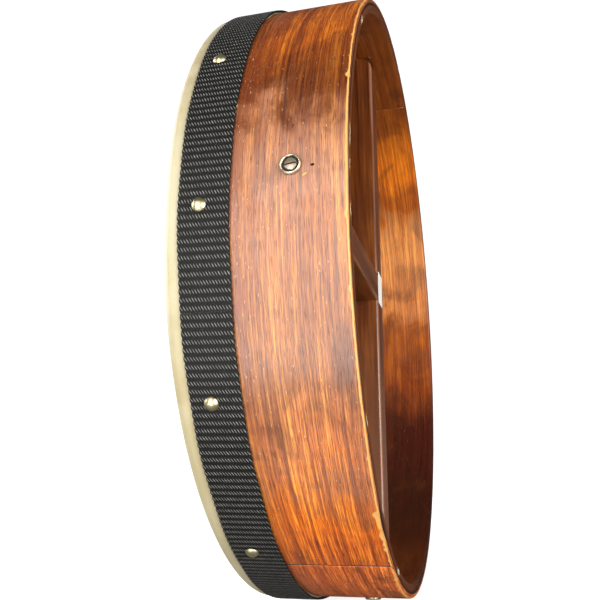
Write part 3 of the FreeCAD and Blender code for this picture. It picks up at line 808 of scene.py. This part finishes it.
def bar_wood(name, angle, offset):
    """Dark stained hardwood, glossy, its long edges paler, both rubbed and painted as an edge highlight,
    and paler towards its lower end as painted light.  The bar's own length is turned to the X axis by
    its angle and its offset from the drum's axis."""
    look = Shader(name)
    turned = look.node("ShaderNodeMapping", vector_type="POINT")
    look.put(turned.inputs["Vector"], look.place())
    turned.inputs["Rotation"].default_value = (0.0, angle, 0.0)
    turned.inputs["Location"].default_value = (0.0, 0.0, -offset)
    grain = turned.outputs[0]
    fine = look.noise(grain_space(look, grain, 22.0, 700.0), detail=4.0)
    broad = look.noise(grain_space(look, grain, 9.0, 120.0), detail=3.0, warp=0.4)
    cloud = look.noise(grain, 24.0, detail=4.0)
    tone = look.math("ADD", look.math("MULTIPLY", fine, 0.45), look.math("MULTIPLY", broad, 0.55))
    colour = look.ramp(look.remap(tone, 0.35, 0.65, 0.0, 1.0),
                       [(0.0, (0.06, 0.012, 0.002)), (0.5, (0.15, 0.036, 0.006)),
                        (1.0, (0.28, 0.080, 0.015))])
    colour = look.mix(look.remap(cloud, 0.45, 0.7, 0.0, 0.5), colour, BAR_CLOUD)
    length, depth, width = look.split(grain)
    # Painted light: paler and pinker towards the bar's lower end.
    lower_painted_light = look.remap(length, -0.02, -0.10, 0.0, 0.45)
    colour = look.mix(lower_painted_light, colour, BAR_LOWER_PAINTED_LIGHT)
    scuffed = look.remap(broad, 0.35, 0.65, -0.8, 0.8)
    # Long edges: rubbed wear together with a painted edge highlight.
    corner = look.math("MULTIPLY", edge_share(look, width, BAR_WIDTH / 2.0, scuffed),
                       edge_share(look, depth, BAR_DEPTH / 2.0, scuffed))
    colour = look.mix(look.math("MULTIPLY", corner, 0.8), colour, BAR_EDGE_WEAR_AND_HIGHLIGHT)
    normal = look.bump(fine, 0.00008, 0.5)
    look.set(Coat_Weight=0.2, Coat_Roughness=0.2)
    return look.finish(colour, look.remap(fine, 0.3, 0.7, 0.28, 0.42), normal)


def label_paper():
    """Plain label paper, a little yellowed, with fibres."""
    look = Shader("label_paper")
    fibre = look.noise(look.place(), 2600.0, detail=4.0)
    stain = look.noise(look.place(), 120.0, detail=3.0)
    colour = look.mix(look.remap(stain, 0.4, 0.8, 0.0, 0.4), PAPER, PAPER_STAIN)
    colour = look.mix(look.remap(fibre, 0.5, 0.8, 0.0, 0.2), colour, PAPER_FIBRE)
    return look.finish(colour, 0.65, look.bump(fibre, 0.00003, 0.6))


def crossbar():
    """The two bars and the label keep their CAD shapes."""
    dress(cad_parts["long_bar"], bar_wood("long_bar_wood", LONG_BAR, 0.0))
    dress(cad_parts["short_bar"], bar_wood("short_bar_wood", SHORT_BAR, SHORT_BAR_OFFSET))
    dress(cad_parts["crossing_label"], label_paper())


# ---------------------------------------------------------------- metal

def metal(name, bright, dull, rough, tarnish, painted_shade=None):
    """Plated metal: fine scratches, darker tarnish in patches, and painted shade where it is asked for.
    """
    look = Shader(name)
    place = look.place()
    patch = look.noise(place, 420.0, detail=4.0)
    scratch = look.noise(look.vector("MULTIPLY", place, (900.0, 5200.0, 1300.0)), detail=2.0)
    colour = look.mix(look.remap(patch, 0.4, 0.7, 0.0, tarnish), bright, dull)
    rough_map = look.remap(patch, 0.3, 0.7, rough, rough + 0.2)
    shine = None
    if painted_shade:
        # Painted shade darkens the recesses and the contact line.
        shade_share = painted_shade(look, look.remap(patch, 0.3, 0.7, -0.25, 0.25))
        colour = look.mix(shade_share, colour, PAINTED_SHADE_COLOUR)
        rough_map = look.math("ADD", rough_map, look.math("MULTIPLY", shade_share, 0.3))
        shine = look.math("SUBTRACT", 1.0, shade_share)
    else:
        look.set(Metallic=1.0)
    return look.finish(colour, rough_map, look.bump(scratch, 0.00002, 0.5), shine)


def from_axis(look, angle):
    """The distance of a point from a screw's axis, and its height along it, in millimetres."""
    turn = math.radians(angle)
    axis = (math.cos(turn), 0.0, math.sin(turn))
    reach = look.vector("LENGTH", look.vector("CROSS_PRODUCT", look.place(), axis))
    height = look.math("SUBTRACT", look.vector("DOT_PRODUCT", look.place(), axis), SHELL_RADIUS)
    return look.math("DIVIDE", reach, MM), look.math("DIVIDE", height, MM)


def washer_painted_shade(angle):
    """Painted shade in the cup's groove, and where the washer meets the wood."""
    def painted_shade(look, uneven):
        reach, height = from_axis(look, angle)
        groove = look.math("SUBTRACT", 1.0, look.step(look.math("ADD", reach, uneven),
                                                      CUP_RADIUS / MM + 0.1, CUP_RADIUS / MM + 0.5))
        foot = look.math("SUBTRACT", 1.0, look.step(look.math("ADD", height, uneven), 0.2, 0.8))
        return look.math("MAXIMUM", groove, foot)
    return painted_shade


def screw_painted_shade(angle):
    """Painted shade round the head's edge and in its slot."""
    def painted_shade(look, uneven):
        reach, height = from_axis(look, angle)
        edge = look.step(look.math("ADD", reach, uneven), HEAD_RADIUS / MM - 0.7, HEAD_RADIUS / MM - 0.1)
        fall = look.math("MULTIPLY", look.math("POWER", reach, 2.0), CROWN_FALL)
        crown = look.math("SUBTRACT", SCREW_TOP, fall)
        slot = look.step(look.math("SUBTRACT", crown, height), 0.12, 0.4)
        return look.math("MAXIMUM", edge, slot)
    return painted_shade


def tack(place, material):
    """One tack: a domed head, hammered a little flat, on its pin."""
    turn = math.radians(TACK_ANGLES[place])
    seat = BAND_RADIUS + (WEBBING if place == LAP_TACK else 0.0)
    head, high, pin = TACK_HEAD_RADIUS, TACK_HEAD_RISE, TACK_PIN_RADIUS
    profile = [(0.02 * MM, high * 0.93), (0.9 * MM, high * 0.93), (1.6 * MM, high * 0.86),
               (2.3 * MM, high * 0.70), (2.9 * MM, high * 0.47), (3.35 * MM, high * 0.22),
               (head, 0.10 * MM), (head - 0.05 * MM, 0.0), (2.6 * MM, 0.12 * MM), (pin, 0.15 * MM),
               (pin, 2.0 * MM - TACK_PIN_LENGTH), (0.02 * MM, -TACK_PIN_LENGTH)]
    steps, sides = TACK_STEPS, len(profile)
    out = np.array([p[0] for p in profile])[None, :]
    up = np.array([p[1] for p in profile])[None, :]
    spin = np.linspace(0.0, 2.0 * math.pi, steps, endpoint=False)[:, None]
    draw = np.random.RandomState(70 + place)
    tilt, dent = draw.uniform(0.0, 2.0 * math.pi), draw.uniform(0.04, 0.16)
    on_top = np.clip(up / high, 0.0, 1.0)
    up = up - on_top * dent * MM * (1.0 + np.cos(spin - tilt)) * out / head
    out = out * (1.0 + 0.012 * on_top * np.cos(2.0 * spin + tilt))
    local = np.stack([up + 0.0 * spin, out * np.cos(spin), out * np.sin(spin)], axis=-1).reshape(-1, 3)
    local[:, 0] += seat
    frame_turn = Matrix.Rotation(-turn, 3, "Y")
    points = [frame_turn @ Vector(p) + Vector((0.0, PIN_ALONG, 0.0)) for p in local]
    faces = ring_faces(steps, sides, True)
    faces = [f for f in faces if not (f[0] % sides == sides - 1)]
    faces.append(tuple(i * sides for i in range(steps)))
    faces.append(tuple(i * sides + sides - 1 for i in reversed(range(steps))))
    node = "tack_%02d" % (place + 1)
    piece = make_mesh("dome_" + node, points, faces)
    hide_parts(node)
    dress(piece, material)


def fixings():
    """Tacks in pale brass; screws and cup washers in duller plated brass."""
    brass = metal("tack_brass", BRASS_BRIGHT, BRASS_DULL, 0.30, 0.6)
    for place in range(len(TACK_ANGLES)):
        tack(place, brass)
    for number, angle in enumerate(SCREW_ANGLES, start=1):
        washer = metal("plated_brass_%d" % number, WASHER_BRIGHT, WASHER_DULL, 0.30, 0.5,
                       washer_painted_shade(angle))
        screw = metal("screw_steel_%d" % number, SCREW_BRIGHT, SCREW_DULL, 0.40, 0.7,
                      screw_painted_shade(angle))
        dress(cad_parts["cup_washer_%d" % number], washer)
        dress(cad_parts["bar_screw_%d" % number], screw)


# ---------------------------------------------------------------- studio

def camera():
    """The photograph's view: level, from the drum's side and a little behind, rolled slightly."""
    data = bpy.data.cameras.new("camera")
    data.sensor_width = 36.0
    data.lens = 45.33
    data.clip_start = 0.01
    made = bpy.data.objects.new("camera", data)
    bpy.context.scene.collection.objects.link(made)
    place = Vector((0.5123, BACK + 0.0595, 0.0006))
    look = Vector((-0.9683, -0.2497, 0.0044)).normalized()
    level = look.to_track_quat("-Z", "Y").to_matrix().to_4x4()
    roll = Matrix.Rotation(math.radians(-4.05), 4, "Z")
    made.matrix_world = Matrix.Translation(place) @ level @ roll
    bpy.context.scene.camera = made


def backdrop():
    """A pale studio bowl: a level floor that curves up into a wall all round."""
    floor = CAD_BOX[0].z - 0.0005
    flat, bend, top = 1.6, 0.9, 3.2
    profile = [(0.01, floor)] + [(flat * s, floor) for s in (0.1, 0.3, 0.6, 1.0)]
    for step in range(1, 13):
        t = math.radians(90.0 * step / 12.0)
        profile.append((flat + bend * math.sin(t), floor + bend * (1.0 - math.cos(t))))
    profile.append((flat + bend, floor + top))
    steps, sides = BACKDROP_STEPS, len(profile)
    points = []
    for i in range(steps):
        t = 2.0 * math.pi * i / steps
        points += [(r * math.cos(t), r * math.sin(t), z) for r, z in profile]
    faces = []
    for i in range(steps):
        a, b = i * sides, ((i + 1) % steps) * sides
        faces += [(a + j, b + j, b + j + 1, a + j + 1) for j in range(sides - 1)]
    faces.append(tuple(i * sides for i in reversed(range(steps))))
    mesh = bpy.data.meshes.new("backdrop")
    mesh.from_pydata(points, [], faces)
    mesh.polygons.foreach_set("use_smooth", [True] * len(mesh.polygons))
    made = bpy.data.objects.new("backdrop", mesh)
    bpy.context.scene.collection.objects.link(made)
    dress(made, backdrop_paper())


def backdrop_paper():
    """Pale paper, kept white where it is seen and dim in the drum's own reflections."""
    look = Shader("backdrop_paper")
    look.set(Roughness=0.9, Specular_IOR_Level=0.1)
    rays = look.node("ShaderNodeLightPath").outputs
    paper = look.mix(rays["Is Glossy Ray"], (0.5, 0.5, 0.5), (0.14, 0.14, 0.14))
    look.put(look.surface.inputs["Base Color"], paper)
    look.surface.inputs["Emission Color"].default_value = (1.0, 1.0, 1.0, 1.0)
    glow = look.math("MULTIPLY", rays["Is Camera Ray"], 0.85)
    look.put(look.surface.inputs["Emission Strength"], glow)
    return look.material


def lamp(name, place, aim, size, power):
    """A soft white rectangular studio light."""
    data = bpy.data.lights.new(name, "AREA")
    data.shape = "RECTANGLE"
    data.size, data.size_y = size
    data.energy = power
    made = bpy.data.objects.new(name, data)
    made.location = place
    made.rotation_euler = (Vector(aim) - Vector(place)).to_track_quat("-Z", "Y").to_euler()
    bpy.context.scene.collection.objects.link(made)


def lights():
    """A tall key beyond the camera, a low one before it, and soft lights at the back and front."""
    lamp("key", (1.35, -0.33, 0.40), (0.15, 0.0, 0.0), (0.7, 1.15), 12.0)
    lamp("low", (0.82, -0.20, CAD_BOX[0].z + 0.01), (0.82, -0.20, 1.0), (0.6, 0.5), 5.6)
    lamp("back", (0.9, 1.0, 0.2), (0.0, 0.0, 0.0), (0.8, 0.8), 20.0)
    lamp("front", (-0.2, -1.6, 0.5), (0.0, 0.0, 0.0), (1.0, 1.0), 30.0)
    lamp("far", (-1.1, -1.0, 0.8), (0.0, 0.0, 0.0), (1.0, 1.0), 5.0)
    world = bpy.data.worlds.new("studio")
    bpy.context.scene.world = world
    world.use_nodes = True
    sky = world.node_tree.nodes["Background"]
    sky.inputs["Color"].default_value = (1.0, 1.0, 1.0, 1.0)
    sky.inputs["Strength"].default_value = 0.08
    bpy.context.scene.view_settings.view_transform = "Standard"


camera()
backdrop()
lights()
shell()
skin()
webbing()
crossbar()
fixings()
